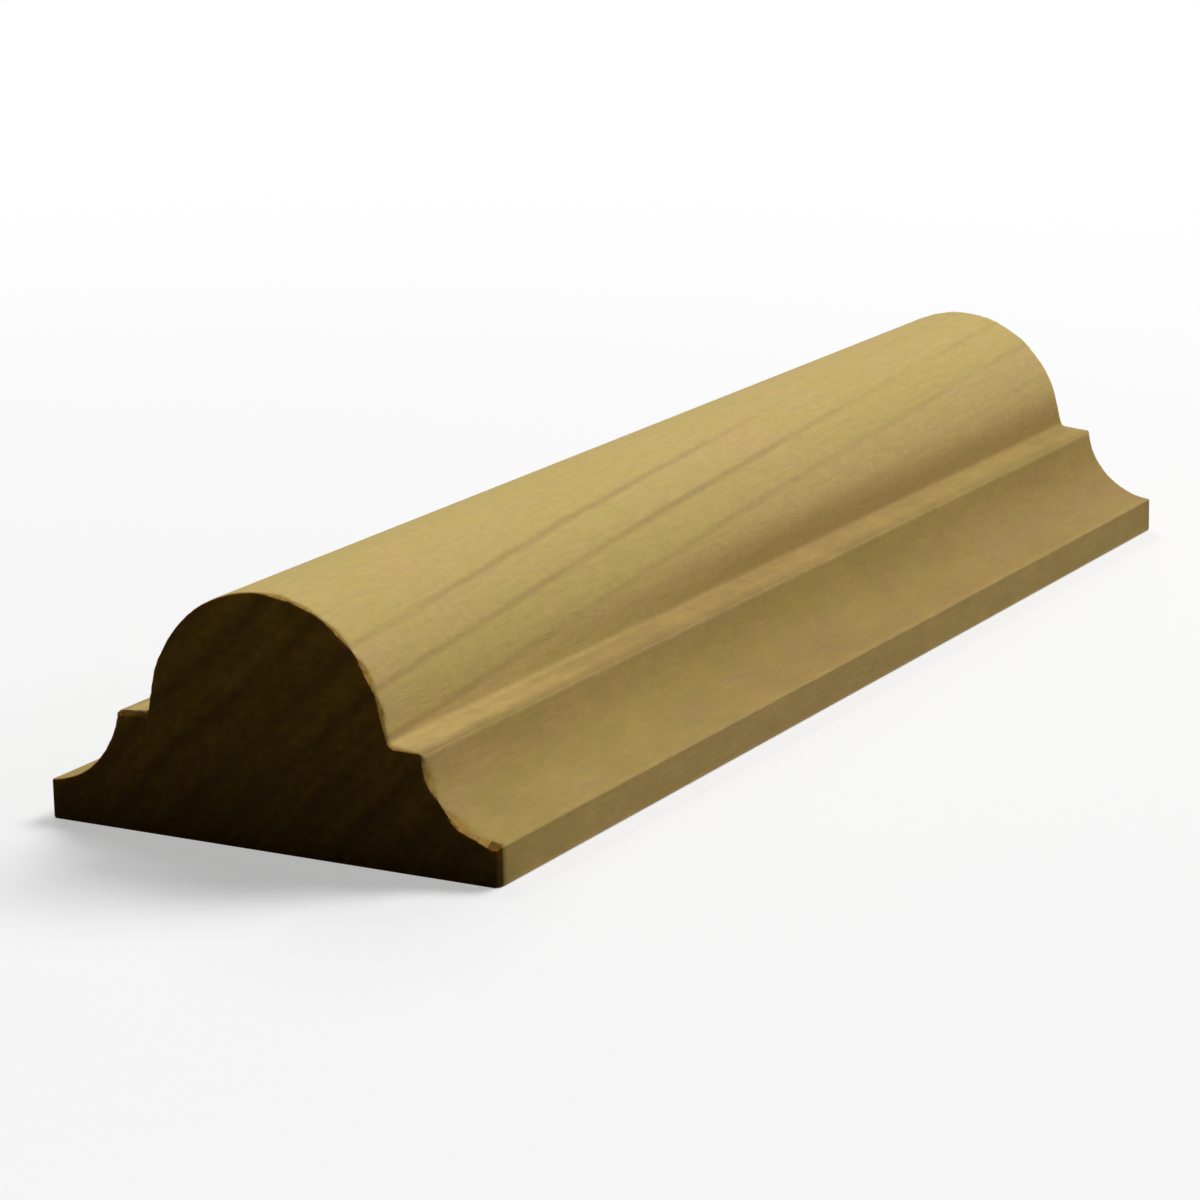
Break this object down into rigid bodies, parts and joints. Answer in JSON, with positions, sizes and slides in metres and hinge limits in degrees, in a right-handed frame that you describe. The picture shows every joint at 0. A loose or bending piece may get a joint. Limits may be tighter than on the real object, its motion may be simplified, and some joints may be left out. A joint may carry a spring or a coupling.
{
  "type": "astragal moulding",
  "caption": "Sawn length of wooden astragal moulding: a half-round bead between two flats and two coves, with thin square edges and a flat back.",
  "frame": {"origin": "middle of the flat back, half way along the strip and half way across it", "axes": "+Y runs along the strip, from the sawn end nearer the camera to the far one; +Z points from the back to the crown of the bead; +X runs across the strip"},
  "size_m": [0.0382, 0.1174, 0.0191],
  "materials": {
    "wood": "planed by the moulder and left raw, sawn ends darker"
  },
  "bodies": {
    "root": {"moulding": "wood"}
  },
  "joints": []
}
